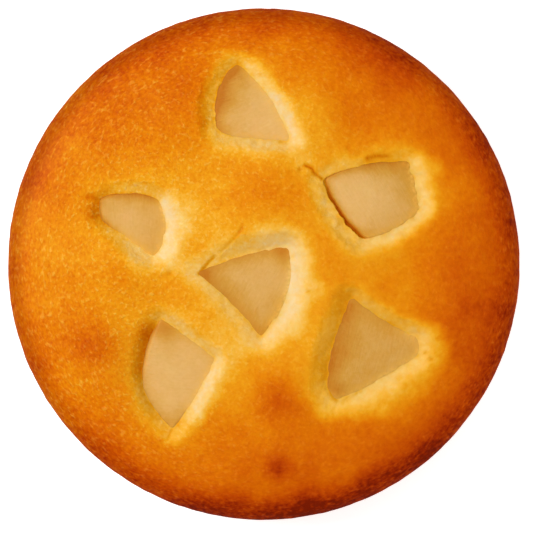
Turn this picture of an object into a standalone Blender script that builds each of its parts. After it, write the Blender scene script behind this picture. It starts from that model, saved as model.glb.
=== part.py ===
"""A round pear cake, turned out of its tin, with six chunks of pear sunk into its top.

Metres, +Z up. The origin is the centre of the flat base. The cake is one solid with a pocket for each
chunk, and each chunk is a solid of its own that fills its pocket.
"""

import math
from dataclasses import dataclass

import bmesh
import bpy
import numpy as np
from mathutils import Vector
from mathutils.geometry import delaunay_2d_cdt

MM = 0.001

# The cake, as it came out of a shallow tin
RADIUS = 100 * MM  # at its widest, where the browned shoulder leaves the tin
WIDEST_HEIGHT = 23 * MM
CENTRE_HEIGHT = 36 * MM
DOME_POWER = 2.7  # 2 would be an ellipse, more is flatter on top and rounder at the shoulder
BASE_RADIUS = 96.5 * MM  # the tin's sides slope in towards the base
BASE_CORNER = 2.5 * MM

# The slow swells that the batter sets in: each wave's length, direction and height
SWELL_WAVES = (
    (74 * MM, math.radians(20), 0.55 * MM),
    (52 * MM, math.radians(100), 0.45 * MM),
    (43 * MM, math.radians(155), 0.35 * MM),
    (35 * MM, math.radians(62), 0.25 * MM),
)

# The batter round a chunk of pear
WALL_REACH = 7.5 * MM  # from the chunk's edge out to where the wall has turned level
WALL_POWER = 1.9  # 1 would be a straight slope, more is steeper at the foot and rounder above
LIP = 0.3 * MM  # the wall's foot stands this far above the chunk's edge
SAG_DEPTH = 1.0 * MM  # the batter rises less near wet fruit
SAG_REACH = 14 * MM
DITCH_SPREAD = 3  # more keeps a ditch to a narrower stretch of the chunk's edge

# The chunks
CLEARANCE = 0.3 * MM  # between a chunk and its pocket
EDGE_ROUND = 0.9 * MM
CORNER_SOFTNESS = 1.1 * MM
CHUNK_THICKNESS = 12 * MM
CROWN = 0.7 * MM  # how far a chunk's top stands up in its middle

# How finely the solids are faceted
RIM_SIDES = 132
SKIN_RADIUS = 90 * MM  # the triangulated part of the top ends here, and the shoulder's rings begin
SHOULDER_SHARES = (0.935, 0.963, 0.982, 0.9935, 0.9985, 1.0)  # the rings' radii, as shares of RADIUS
LATTICE_STEP = 4.6 * MM
WALL_OFFSETS = (0.0, 0.9 * MM, 2.1 * MM, 3.6 * MM, 5.4 * MM, 7.6 * MM)
OUTLINE_SIDES = 48
OUTLINE_SAMPLES = 480


@dataclass(frozen=True)
class Chunk:
    """A chunk of pear, by the outline of its pocket and the way it lies.

    corners run anticlockwise as (x, y, bulge) in millimetres, and bulge is how far the edge that follows
    bows outwards. sunk is how deep its top lies under the dome, in millimetres, and slope is its rise along
    +X and +Y. Where the batter has shrunk away from it, ditch is how far down the gap shows, in
    millimetres, and ditch_towards is the side that the gap is on, in degrees.
    """

    name: str
    corners: tuple
    sunk: float
    slope: tuple
    ditch: float = 0.0
    ditch_towards: float = 0.0

    def outline(self):
        """Points and outward normals round the pocket, evenly spaced along it."""
        arcs = []
        for k, (x, y, bulge) in enumerate(self.corners):
            next_x, next_y, _ = self.corners[(k + 1) % len(self.corners)]
            arcs.append(arc_points(np.array([x, y]) * MM, np.array([next_x, next_y]) * MM, bulge * MM))
        points = resampled(np.concatenate(arcs), OUTLINE_SAMPLES)
        return with_normals(resampled(softened(points), OUTLINE_SIDES))


@dataclass(frozen=True)
class Pocket:
    """A chunk's outline as worked out, with the heights of what lies in and round it."""

    chunk: Chunk
    points: np.ndarray
    normals: np.ndarray

    @classmethod
    def of(cls, chunk):
        return cls(chunk, *chunk.outline())

    @property
    def centre(self):
        return self.points.mean(axis=0)

    def chunk_top(self, x, y):
        """Height of the plane of the chunk's top edge over a point."""
        cx, cy = self.centre
        level = dome_height(math.hypot(cx, cy)) - self.chunk.sunk * MM
        return level + self.chunk.slope[0] * (x - cx) + self.chunk.slope[1] * (y - cy)

    def floor(self):
        return self.chunk_top(*self.centre) - CHUNK_THICKNESS

    def wall_foot(self, x, y):
        """Height of the batter where it meets the chunk, on the side that a point lies on."""
        cx, cy = self.centre
        off_axis = math.atan2(y - cy, x - cx) - math.radians(self.chunk.ditch_towards)
        facing = max(math.cos(off_axis), 0.0) ** DITCH_SPREAD
        return self.chunk_top(x, y) + LIP - self.chunk.ditch * MM * facing

    def distance(self, x, y):
        """Distance from the outline to a point, negative inside it."""
        here = np.array([x, y])
        ends = np.roll(self.points, -1, axis=0)
        edges = ends - self.points
        share = np.clip(((here - self.points) * edges).sum(axis=1) / (edges**2).sum(axis=1), 0, 1)
        nearest = np.linalg.norm(self.points + share[:, None] * edges - here, axis=1).min()
        crosses = (self.points[:, 1] > y) != (ends[:, 1] > y)
        rise = np.where(crosses, edges[:, 1], 1)
        crossing_x = self.points[:, 0] + (y - self.points[:, 1]) / rise * edges[:, 0]
        inside = np.count_nonzero(crosses & (x < crossing_x)) % 2 == 1
        return -nearest if inside else nearest


CHUNKS = (
    Chunk(
        "pear_top",
        corners=((-11, 78, 6), (-14.5, 50.5, 0), (10, 48.5, 2)),
        sunk=4.6,
        slope=(0.05, -0.02),
        ditch=1.2,
        ditch_towards=150,
    ),
    Chunk(
        "pear_right",
        corners=((24, 33, 2), (40, 10, 1.4), (60.5, 21, 0.4), (56, 39.5, 2)),
        sunk=4.3,
        slope=(-0.05, 0.02),
        ditch=1.6,
        ditch_towards=215,
    ),
    Chunk(
        "pear_left",
        corners=((-63.5, 25, 0.3), (-62.5, 16.5, 0), (-43.5, 3, 4.3), (-41, 25.5, 2)),
        sunk=4.5,
        slope=(0.03, 0),
        ditch=3.5,
        ditch_towards=180,
    ),
    Chunk(
        "pear_centre",
        corners=((-25, -4, -1.2), (-1.5, -28, 4.7), (9.5, 6.5, 1.6)),
        sunk=4.7,
        slope=(0, 0.02),
    ),
    Chunk(
        "pear_lower_left",
        corners=((-39.5, -22, 10.5), (-36, -64.5, 1.2), (-18, -36.5, 0)),
        sunk=4.6,
        slope=(0.02, 0.03),
        ditch=2.6,
        ditch_towards=165,
    ),
    Chunk(
        "pear_lower_right",
        corners=((34.5, -13, 4.7), (28, -53, 1.6), (61, -34.5, 0), (59, -28.5, -0.8)),
        sunk=4.4,
        slope=(-0.03, 0),
    ),
)


def arc_points(start, end, bulge, count=40):
    """Points from start up to, but not at, end on the arc that bows to the right of the way there."""
    chord = end - start
    length = np.linalg.norm(chord)
    along = chord / length
    outwards = np.array([along[1], -along[0]])
    share = np.linspace(0, 1, count, endpoint=False)
    if bulge == 0:
        return start + share[:, None] * chord
    radius = length**2 / (8 * bulge) + bulge / 2
    angle = (2 * share - 1) * math.asin(length / 2 / radius)
    across = radius * np.sin(angle)
    out = radius * np.cos(angle) - (radius - bulge)
    return (start + end) / 2 + across[:, None] * along + out[:, None] * outwards


def resampled(points, count):
    """The closed line through points, as count points evenly spaced along it."""
    closed = np.vstack([points, points[:1]])
    travelled = np.concatenate([[0], np.cumsum(np.linalg.norm(np.diff(closed, axis=0), axis=1))])
    wanted = np.linspace(0, travelled[-1], count, endpoint=False)
    return np.stack([np.interp(wanted, travelled, closed[:, axis]) for axis in (0, 1)], axis=1)


def softened(points):
    """The same closed line with its corners rounded, by a weighted mean of each point's neighbours."""
    step = np.linalg.norm(points[1] - points[0])
    reach = math.ceil(3 * CORNER_SOFTNESS / step)
    shifts = np.arange(-reach, reach + 1)
    weights = np.exp(-0.5 * (shifts * step / CORNER_SOFTNESS) ** 2)
    weights /= weights.sum()
    return sum(weight * np.roll(points, shift, axis=0) for weight, shift in zip(weights, shifts))


def with_normals(points):
    """The points of a closed anticlockwise line, with the outward normal at each."""
    along = np.roll(points, -1, axis=0) - np.roll(points, 1, axis=0)
    along /= np.linalg.norm(along, axis=1, keepdims=True)
    return points, np.stack([along[:, 1], -along[:, 0]], axis=1)


def dome_height(radius):
    """Height of the smooth dome at a radius: a superellipse from the centre to the widest point."""
    share = min(radius / RADIUS, 1.0)
    return WIDEST_HEIGHT + (CENTRE_HEIGHT - WIDEST_HEIGHT) * (1 - share**DOME_POWER) ** (1 / DOME_POWER)


def swell(x, y):
    """The slow rise and fall of the crust, which dies out towards the rim."""
    waves = sum(
        height * math.sin(math.tau * (x * math.cos(way) + y * math.sin(way)) / length)
        for length, way, height in SWELL_WAVES
    )
    return waves * (1 - min(math.hypot(x, y) / RADIUS, 1.0) ** 4)


def crust_height(x, y, pockets):
    """Height of the cake's top at a point that lies in no pocket."""
    gaps = [max(pocket.distance(x, y), 0.0) for pocket in pockets]
    height = dome_height(math.hypot(x, y)) + swell(x, y)
    height -= sum(SAG_DEPTH * math.exp(-((gap / SAG_REACH) ** 2)) for gap in gaps)
    for pocket, gap in zip(pockets, gaps):
        if gap < WALL_REACH:
            foot = pocket.wall_foot(x, y)
            height = foot + (height - foot) * (1 - (1 - gap / WALL_REACH) ** WALL_POWER)
    return height


def ring_points(radius):
    angles = math.tau * np.arange(RIM_SIDES) / RIM_SIDES
    return radius * np.stack([np.cos(angles), np.sin(angles)], axis=1)


def lattice_points(pockets):
    """A triangular lattice over the dome, clear of the shoulder's rings and of the walls."""
    reach = SKIN_RADIUS - 0.6 * LATTICE_STEP
    clear = WALL_OFFSETS[-1] + 0.5 * LATTICE_STEP
    row_step = LATTICE_STEP * math.sqrt(3) / 2
    rows = math.ceil(reach / row_step)
    found = []
    for row in range(-rows, rows + 1):
        for column in range(-rows, rows + 1):
            x = (column + 0.5 * (row % 2)) * LATTICE_STEP
            y = row * row_step
            if math.hypot(x, y) < reach and all(pocket.distance(x, y) > clear for pocket in pockets):
                found.append((x, y))
    return np.array(found)


def top_skin(bm, pockets):
    """The cake's top inside the shoulder, triangulated round the pockets' edges."""
    groups = [ring_points(SKIN_RADIUS), lattice_points(pockets)]
    edges = []
    start = len(groups[0]) + len(groups[1])
    for pocket in pockets:
        edges += [(start + k, start + (k + 1) % OUTLINE_SIDES) for k in range(OUTLINE_SIDES)]
        groups += [pocket.points + offset * pocket.normals for offset in WALL_OFFSETS]
        start += len(WALL_OFFSETS) * OUTLINE_SIDES
    flat = [Vector(point) for group in groups for point in group]
    flat, _, triangles, *_ = delaunay_2d_cdt(flat, edges, [], 0, 1e-7)
    verts = [bm.verts.new((x, y, crust_height(x, y, pockets))) for x, y in flat]
    for triangle in triangles:
        x, y = sum((flat[k] for k in triangle), Vector((0, 0))) / len(triangle)
        if all(pocket.distance(x, y) > 0 for pocket in pockets):
            bm.faces.new([verts[k] for k in triangle])


def open_loop(bm, is_on_it):
    """The open edges whose two ends both pass a test of their place."""
    return [e for e in bm.edges if e.is_boundary and all(is_on_it(v.co) for v in e.verts)]


def pull_loop(bm, edges, place):
    """Extrudes a loop of edges, moves each new point to where place says, and returns the new loop."""
    made = bmesh.ops.extrude_edge_only(bm, edges=edges)["geom"]
    for vert in (item for item in made if isinstance(item, bmesh.types.BMVert)):
        vert.co = place(vert.co)
    return [e for e in made if isinstance(e, bmesh.types.BMEdge) and e.is_boundary]


def side_profile():
    """(radius, height) down the side, from under the widest point and round the corner of the base."""
    side = Vector((BASE_RADIUS, BASE_CORNER)) - Vector((RADIUS, WIDEST_HEIGHT))
    down = [Vector((RADIUS, WIDEST_HEIGHT)) + side * share for share in (1 / 3, 2 / 3, 1)]
    corner = [
        Vector((BASE_RADIUS - BASE_CORNER * (1 - math.cos(turn)), BASE_CORNER * (1 - math.sin(turn))))
        for turn in (math.radians(35), math.radians(65), math.radians(90))
    ]
    return down + corner


def build_cake(pockets):
    bm = bmesh.new()
    top_skin(bm, pockets)

    def on_shoulder(co, radius):
        x, y = co.xy.normalized() * radius
        return Vector((x, y, crust_height(x, y, pockets)))

    def on_side(co, radius, height):
        return (co.xy.normalized() * radius).to_3d() + Vector((0, 0, height))

    loop = open_loop(bm, lambda co: co.xy.length > SKIN_RADIUS - 0.1 * MM)
    for share in SHOULDER_SHARES:
        loop = pull_loop(bm, loop, lambda co, r=share * RADIUS: on_shoulder(co, r))
    for radius, height in side_profile():
        loop = pull_loop(bm, loop, lambda co, r=radius, h=height: on_side(co, r, h))
    bmesh.ops.contextual_create(bm, geom=loop)
    for pocket in pockets:
        loop = open_loop(bm, lambda co, p=pocket: abs(p.distance(co.x, co.y)) < 0.05 * MM)
        loop = pull_loop(bm, loop, lambda co, h=pocket.floor(): Vector((co.x, co.y, h)))
        bmesh.ops.contextual_create(bm, geom=loop)
    return object_from(bm, "cake", crust_material())


def build_chunk(pocket):
    """A chunk as a stack of rings from the middle of its top, over its rounded edge and down to its base."""
    edge = pocket.points - CLEARANCE * pocket.normals
    inner = edge - EDGE_ROUND * pocket.normals
    centre = edge.mean(axis=0)
    base = pocket.floor() + CLEARANCE
    bm = bmesh.new()

    def top_ring(points, rise):
        return [bm.verts.new((x, y, pocket.chunk_top(x, y) + rise)) for x, y in points]

    rings = [
        top_ring(centre + share * (inner - centre), CROWN * (1 - share**2)) for share in (0.3, 0.6, 0.84)
    ]
    for turn in (math.radians(90), math.radians(50), math.radians(15)):
        points = edge - EDGE_ROUND * (1 - math.cos(turn)) * pocket.normals
        rings.append(top_ring(points, -EDGE_ROUND * (1 - math.sin(turn))))
    rings.append([bm.verts.new((x, y, base)) for x, y in edge])

    middle = bm.verts.new((*centre, pocket.chunk_top(*centre) + CROWN))
    for k in range(OUTLINE_SIDES):
        after = (k + 1) % OUTLINE_SIDES
        bm.faces.new((middle, rings[0][k], rings[0][after]))
        for upper, lower in zip(rings, rings[1:]):
            bm.faces.new((upper[k], lower[k], lower[after], upper[after]))
    bm.faces.new(reversed(rings[-1]))
    return object_from(bm, pocket.chunk.name, pear_material())


def object_from(bm, name, material):
    """A smooth-shaded object in the cake's collection, made from a closed bmesh."""
    bmesh.ops.recalc_face_normals(bm, faces=bm.faces)
    mesh = bpy.data.meshes.new(name)
    bm.to_mesh(mesh)
    bm.free()
    mesh.shade_smooth()
    mesh.set_sharp_from_angle(angle=math.radians(50))
    mesh.materials.append(material)
    made = bpy.data.objects.new(name, mesh)
    bpy.data.collections["pear_cake"].objects.link(made)
    return made


def food_material(name, colour, roughness):
    material = bpy.data.materials.get(name) or bpy.data.materials.new(name)
    material.use_nodes = True
    shader = material.node_tree.nodes["Principled BSDF"]
    shader.inputs["Base Color"].default_value = (*colour, 1.0)
    shader.inputs["Roughness"].default_value = roughness
    shader.inputs["Metallic"].default_value = 0.0
    return material


def crust_material():
    return food_material("golden_crust", (0.76, 0.28, 0.02), 0.6)


def pear_material():
    return food_material("pear_flesh", (0.72, 0.45, 0.16), 0.4)


def main():
    for old in list(bpy.data.objects):
        bpy.data.objects.remove(old)
    collection = bpy.data.collections.new("pear_cake")
    bpy.context.scene.collection.children.link(collection)
    pockets = [Pocket.of(chunk) for chunk in CHUNKS]
    build_cake(pockets)
    for pocket in pockets:
        build_chunk(pocket)


if __name__ == "__main__":
    main()
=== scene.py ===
"""The looks of a round pear cake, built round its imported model.

The cake is one closed surface: a finely grained golden crust that browns towards the rim, and pale walls
where the batter sank round six chunks of pear. Each chunk is a closed, moist piece of its own.
"""

import logging
import math
from dataclasses import dataclass, fields
from enum import Enum
from itertools import product
from typing import Any

import bpy
import numpy as np
from numpy.typing import NDArray
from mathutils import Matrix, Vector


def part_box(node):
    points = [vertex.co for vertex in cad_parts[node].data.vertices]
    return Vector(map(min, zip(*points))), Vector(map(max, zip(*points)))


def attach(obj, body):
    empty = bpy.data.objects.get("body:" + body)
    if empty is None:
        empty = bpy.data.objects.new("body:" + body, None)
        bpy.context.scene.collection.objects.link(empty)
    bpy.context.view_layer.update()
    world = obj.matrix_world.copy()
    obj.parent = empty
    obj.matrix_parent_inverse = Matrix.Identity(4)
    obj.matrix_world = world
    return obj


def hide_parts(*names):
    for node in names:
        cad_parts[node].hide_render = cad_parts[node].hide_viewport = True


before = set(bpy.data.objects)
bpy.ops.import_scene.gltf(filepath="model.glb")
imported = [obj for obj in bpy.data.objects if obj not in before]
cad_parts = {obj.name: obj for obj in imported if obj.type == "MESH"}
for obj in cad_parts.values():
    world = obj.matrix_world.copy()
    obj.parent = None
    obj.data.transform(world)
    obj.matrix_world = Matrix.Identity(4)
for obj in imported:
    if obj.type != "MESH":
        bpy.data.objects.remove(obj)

Array = NDArray[np.float64]
Colour = tuple[float, float, float]

MM = 0.001
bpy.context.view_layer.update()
log = logging.getLogger("pear_cake")

# The photograph's frame, and where the cake's outline lies in it
PHOTO_SIDE_PX = 540
CAKE_MIDDLE_PX = (263.8, 264.1)
CAKE_RADIUS_PX = 256.0

# What mixes a lattice corner's whole numbers into a value of soft_noise
PATTERN_SHIFT = 17.37
LATTICE_FACTORS = (73856093, 19349663, 83492791)
SEED_FACTOR = 2654435761
MIXING_FACTOR = 1274126177
LOW_BITS = 0xFFFF


class Slot(Enum):
    """The record's material slots."""

    CRUST = "golden_crust"
    PEAR = "pear_flesh"


# ---------------------------------------------------------------- numbers and arrays


def srgb(red: int, green: int, blue: int) -> Colour:
    """A screen colour as linear: c / 12.92 under 0.04045, and ((c + 0.055) / 1.055) ** 2.4 above."""
    shares = (value / 255 for value in (red, green, blue))
    return tuple(c / 12.92 if c <= 0.04045 else ((c + 0.055) / 1.055) ** 2.4 for c in shares)


BLACK: Colour = (0.0, 0.0, 0.0)


def smooth_step(value: Array, low: float, high: float) -> Array:
    """0 below low, 1 above high, and t * t * (3 - 2 * t) between them."""
    t = np.clip((value - low) / (high - low), 0, 1)
    return t * t * (3 - 2 * t)


def soft_noise(points: Array, size: float, seed: int) -> Array:
    """Smooth bumps and hollows: random values at the corners of a lattice, blended between them.

    Each corner's value comes from its whole-number place, mixed by multiplication and exclusive or. Between
    corners the values are weighted by t ** 3 * (t * (6 * t - 15) + 10) along each axis.

    Args:
        points: Places, as rows of x, y and z.
        size: The lattice's step, in the same unit.
        seed: Which pattern.

    Returns:
        Values from -1 to 1.
    """
    place = points / size + seed * PATTERN_SHIFT
    corner = np.floor(place).astype(np.int64)
    t = place - corner
    weight = t**3 * (t * (6 * t - 15) + 10)
    total = np.zeros(len(points))
    for step in product((0, 1), repeat=3):
        x, y, z = ((corner + step) * LATTICE_FACTORS).T
        mixed = x ^ y ^ z ^ (seed * SEED_FACTOR)
        mixed = (mixed ^ (mixed >> 13)) * MIXING_FACTOR
        mixed = mixed ^ (mixed >> 16)
        share = np.prod(np.where(np.array(step) == 1, weight, 1 - weight), axis=1)
        total += share * ((mixed & LOW_BITS) / (LOW_BITS / 2) - 1)
    return total


def layered_noise(points: Array, size: float, seed: int, layers: int = 3) -> Array:
    """soft_noise with finer layers on it, each with half the size and half the height of the one before."""
    return sum(soft_noise(points, size / 2**k, seed + k) / 2**k for k in range(layers))


@dataclass(frozen=True)
class Pattern:
    """A layered soft noise with a height and a size of its own."""

    height: float
    size: float
    seed: int
    layers: int = 1

    def at(self, points: Array) -> Array:
        """Its value at each point."""
        return self.height * layered_noise(points, self.size, self.seed, self.layers)


def flat_points(xy: Array) -> Array:
    """Points of the plane with a height of 0 added."""
    return np.column_stack([xy, np.zeros(len(xy))])


def towards(points: Array, way: float) -> Array:
    """The cosine of the angle between each point's direction from the middle and a way, in degrees."""
    return np.cos(np.arctan2(points[:, 1], points[:, 0]) - math.radians(way))


def spaced(line: Array, count: int, closed: bool) -> Array:
    """Points evenly spaced along a chain of straight stretches, by the way travelled along it.

    Args:
        line: The stretches' ends, as rows of two.
        count: How many points.
        closed: Whether the last end is the first again, and is left out.

    Returns:
        The points, as rows of two.
    """
    travelled = np.concatenate([[0], np.cumsum(np.linalg.norm(np.diff(line, axis=0), axis=1))])
    wanted = np.linspace(0, travelled[-1], count, endpoint=not closed)
    return np.stack([np.interp(wanted, travelled, line[:, axis]) for axis in (0, 1)], axis=1)


# ---------------------------------------------------------------- meshes


def grid_faces(index: Array, closed: bool = False) -> Array:
    """Quads between neighbouring points of a grid.

    Args:
        index: The points' indices. Rows that run anticlockwise seen from above and go down face outwards,
            and rows along +Y that follow one another along +X face up.
        closed: Whether each row's last point also joins its first.

    Returns:
        One row of four indices for each quad.
    """
    if closed:
        index = np.column_stack([index, index[:, 0]])
    quads = np.stack([index[:-1, :-1], index[1:, :-1], index[1:, 1:], index[:-1, 1:]], axis=-1)
    return quads.reshape(-1, 4)


def make_piece(
    name: str,
    points: Array,
    faces: list[Array],
    material: bpy.types.Material,
    marks: dict[str, Array],
) -> bpy.types.Object:
    """A smooth-shaded mesh object at the origin.

    Args:
        name: The piece's name.
        points: Its points, as rows of x, y and z.
        faces: Arrays of faces, each with one row of indices for each face.
        material: Its material.
        marks: Numbers, or rows of three numbers, for its points to carry, by the name that the material
            reads.

    Returns:
        The new object, linked to the scene.
    """
    mesh = bpy.data.meshes.new(name)
    corners = np.concatenate([group.ravel() for group in faces])
    sizes = np.concatenate([np.full(len(group), group.shape[1]) for group in faces])
    starts = np.concatenate([[0], np.cumsum(sizes)[:-1]])
    mesh.vertices.add(len(points))
    mesh.vertices.foreach_set("co", points.astype(np.float32).ravel())
    mesh.loops.add(len(corners))
    mesh.loops.foreach_set("vertex_index", corners.astype(np.int32))
    mesh.polygons.add(len(sizes))
    mesh.polygons.foreach_set("loop_start", starts.astype(np.int32))
    mesh.update(calc_edges=True)
    for mark, values in marks.items():
        kind, field = ("FLOAT", "value") if values.ndim == 1 else ("FLOAT_VECTOR", "vector")
        attribute = mesh.attributes.new(mark, kind, "POINT")
        attribute.data.foreach_set(field, values.astype(np.float32).ravel())
    mesh.shade_smooth()
    mesh.materials.append(material)
    piece = bpy.data.objects.new(name, mesh)
    bpy.context.scene.collection.objects.link(piece)
    return piece


# ---------------------------------------------------------------- shader nodes


# The Mix node's colour sockets, by number
MIX_COLOUR_A = 6
MIX_COLOUR_B = 7
MIX_COLOUR_OUT = 2


class Wire:
    """An output socket. Arithmetic on it adds Math nodes."""

    def __init__(self, board: "Board", socket: bpy.types.NodeSocket) -> None:
        """Keeps the node tree's board and the socket."""
        self.board = board
        self.socket = socket

    def __add__(self, other: "Wire | float") -> "Wire":
        """This plus other."""
        return self.board.math("ADD", self, other)

    def __sub__(self, other: "Wire | float") -> "Wire":
        """This minus other."""
        return self.board.math("SUBTRACT", self, other)

    def __rsub__(self, other: float) -> "Wire":
        """Other minus this."""
        return self.board.math("SUBTRACT", other, self)

    def __mul__(self, other: "Wire | float") -> "Wire":
        """This times other."""
        return self.board.math("MULTIPLY", self, other)

    __radd__ = __add__
    __rmul__ = __mul__


class Board:
    """A material's node tree, and the ways to add to it."""

    def __init__(self, name: str) -> None:
        """Makes a material with only a Principled shader and its output.

        Args:
            name: The material's name.
        """
        self.material = bpy.data.materials.new(name)
        self.material.use_nodes = True
        self.nodes = self.material.node_tree.nodes
        self.links = self.material.node_tree.links
        self.shader = self.nodes["Principled BSDF"]

    def feed(self, socket: bpy.types.NodeSocket, value: Any) -> None:
        """Links a wire to an input socket, or sets the socket to a plain value."""
        if isinstance(value, Wire):
            self.links.new(value.socket, socket)
        else:
            socket.default_value = value

    def node(
        self,
        kind: str,
        settings: dict[str, Any] | None = None,
        inputs: dict[Any, Any] | None = None,
        output: Any = 0,
    ) -> Wire:
        """Adds a node.

        Args:
            kind: The node's type, without the word ShaderNode.
            settings: Its settings by name, with a ramp's stops as (place, colour) pairs under "stops".
            inputs: The wires or values of its input sockets, by name or number.
            output: Which output to return.

        Returns:
            The wire of that output.
        """
        made = self.nodes.new("ShaderNode" + kind)
        for key, value in (settings or {}).items():
            if key == "stops":
                set_stops(made.color_ramp, value)
            else:
                setattr(made, key, value)
        for key, value in (inputs or {}).items():
            self.feed(made.inputs[key], value)
        return Wire(self, made.outputs[output])

    def math(self, operation: str, *values: Wire | float) -> Wire:
        """A Math node of one operation on the values."""
        return self.node("Math", {"operation": operation}, dict(enumerate(values)))

    def clamped(self, value: Wire) -> Wire:
        """The value held between 0 and 1."""
        return self.node("Math", {"operation": "ADD", "use_clamp": True}, {0: value, 1: 0.0})

    def mark(self, name: str) -> Wire:
        """A number that the mesh's points carry."""
        return self.node("Attribute", {"attribute_name": name}, output="Fac")

    def mark_place(self, name: str) -> Wire:
        """A place that the mesh's points carry."""
        return self.node("Attribute", {"attribute_name": name}, output="Vector")

    def place(self) -> Wire:
        """The point on the piece, in metres."""
        return self.node("TexCoord", output="Object")

    def noise(
        self, size: float, detail: float = 2.0, place: Wire | None = None, contrast: float = 1.0
    ) -> Wire:
        """Noise about 0 whose features are about size across.

        Args:
            size: The features' size, in metres.
            detail: How many finer layers it has.
            place: Where it is read, or None for the piece's own place.
            contrast: A factor on its height.

        Returns:
            A wire with values mostly between -0.5 and 0.5 times contrast.
        """
        at = place or self.place()
        found = self.node("TexNoise", {}, {"Vector": at, "Scale": 1 / size, "Detail": detail}, "Fac")
        return (found - 0.5) * contrast

    def ramp(self, value: Wire, stops: tuple[tuple[float, Colour], ...]) -> Wire:
        """The colour at a value along a ramp of stops."""
        return self.node("ValToRGB", {"stops": stops}, {0: value}, "Color")

    def mix(self, share: Wire | float, first: Any, second: Any) -> Wire:
        """Two colours mixed, with share as the part of the second.

        Args:
            share: From 0, the first colour, to 1, the second.
            first: The first colour or its wire.
            second: The second colour or its wire.

        Returns:
            The wire of the mixed colour.
        """
        settings = {"data_type": "RGBA", "blend_type": "MIX", "clamp_factor": True}
        colours = [c if isinstance(c, Wire) else (*c, 1.0) for c in (first, second)]
        inputs = {0: share, MIX_COLOUR_A: colours[0], MIX_COLOUR_B: colours[1]}
        return self.node("Mix", settings, inputs, MIX_COLOUR_OUT)

    def bump(self, height: Wire, depth: float, under: Wire | None = None) -> Wire:
        """A normal bumped by a height.

        Args:
            height: The height, where 1 stands for depth.
            depth: The relief's depth, in metres.
            under: The normal of a coarser bump below this one, or None.

        Returns:
            The wire of the normal.
        """
        inputs = {"Height": height, "Distance": depth, "Strength": 1.0}
        if under is not None:
            inputs["Normal"] = under
        return self.node("Bump", {}, inputs, "Normal")

    def finish(self, **sockets: Any) -> bpy.types.Material:
        """Feeds the shader's sockets, named with _ for a space, and returns the material."""
        for name, value in sockets.items():
            self.feed(self.shader.inputs[name.replace("_", " ")], value)
        return self.material


def set_stops(ramp: bpy.types.ColorRamp, stops: tuple[tuple[float, Colour], ...]) -> None:
    """Gives a colour ramp its stops.

    Args:
        ramp: The ramp, with its two first stops.
        stops: (place, colour) pairs in rising order.
    """
    while len(ramp.elements) < len(stops):
        ramp.elements.new(1.0)
    for element, (place, colour) in zip(ramp.elements, stops):
        element.position = place
        element.color = (*colour, 1.0)


# ---------------------------------------------------------------- finishes


@dataclass(frozen=True)
class CrustFinish:
    """Baked batter, from pale cream through gold and orange to dark brown as it bakes further."""

    stops: tuple[tuple[float, Colour], ...] = (
        (0.0, srgb(246, 214, 156)),
        (0.14, srgb(250, 203, 112)),
        (0.28, srgb(248, 184, 62)),
        (0.40, srgb(243, 165, 25)),
        (0.52, srgb(236, 142, 8)),
        (0.62, srgb(228, 121, 2)),
        (0.71, srgb(217, 102, 1)),
        (0.80, srgb(204, 82, 1)),
        (0.88, srgb(186, 64, 2)),
        (0.95, srgb(158, 43, 3)),
        (1.0, srgb(130, 31, 4)),
    )
    mottle: float = 0.05
    mottle_size: float = 9 * MM
    grain: float = 0.08
    grain_size: float = 2.2 * MM
    fine: float = 0.33
    fine_size: float = 1.1 * MM
    # the flecks are raised grains; fleck lowers their browning and glint_share lightens them towards speck,
    # which paints glints on them
    glint_paling: float = 0.12
    fleck_size: float = 1.5 * MM
    fleck_detail: float = 1.2
    fleck_from: float = 0.04
    fleck_rise: float = 4.5
    glint_colour: Colour = srgb(255, 208, 128)
    glint_share: float = 0.18
    rim_grain: float = 0.11
    rim_grain_size: float = 1.9 * MM
    bumps_size: float = 2.6 * MM
    bumps_depth: float = 0.3 * MM
    fine_share: float = 0.5  # of the flecks' relief
    fleck_depth: float = 0.2 * MM
    roughness: float = 0.42

    def material(self) -> bpy.types.Material:
        """The crust's material, which reads the marks bake, rim, coarse, dim and drawn."""
        board = Board("golden_crust")
        drawn = board.mark_place("drawn")
        # coarse scales the grain and the painted glints, which are stronger on the side towards the light
        coarse = board.mark("coarse")
        mottle = board.noise(self.mottle_size, contrast=2 * self.mottle)
        grain = board.noise(self.grain_size, contrast=2 * self.grain)
        fine = board.noise(self.fine_size, place=drawn)
        flecks = board.noise(self.fleck_size, self.fleck_detail, place=drawn)
        flecks = board.clamped((flecks - self.fleck_from) * self.fleck_rise) * coarse
        spotty = board.noise(self.rim_grain_size, place=drawn, contrast=2 * self.rim_grain)
        bake = board.mark("bake") + mottle + grain + spotty * board.mark("rim")
        # the flecks are made paler and lighter: painted glints, strongest where coarse is high
        bake = board.clamped(bake + fine * coarse * self.fine - flecks * self.glint_paling)
        painted_glints = flecks * (1.0 - bake) * self.glint_share
        colour = board.mix(painted_glints, board.ramp(bake, self.stops), self.glint_colour)
        # dim darkens towards black: painted shade at the walls' feet, in the gaps, pits and creases, in
        # listed spots and on the rim's edge, and a darkening further down the side
        colour = board.mix(board.mark("dim"), colour, BLACK)
        normal = board.bump(board.noise(self.bumps_size), self.bumps_depth)
        normal = board.bump(flecks + fine * self.fine_share, self.fleck_depth, normal)
        return board.finish(
            Base_Color=colour,
            Roughness=self.roughness,
            Normal=normal,
            Specular_IOR_Level=0.03,
            Subsurface_Weight=0.15,
            Subsurface_Radius=(1.0, 0.4, 0.1),
            Subsurface_Scale=2.5 * MM,
        )


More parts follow.
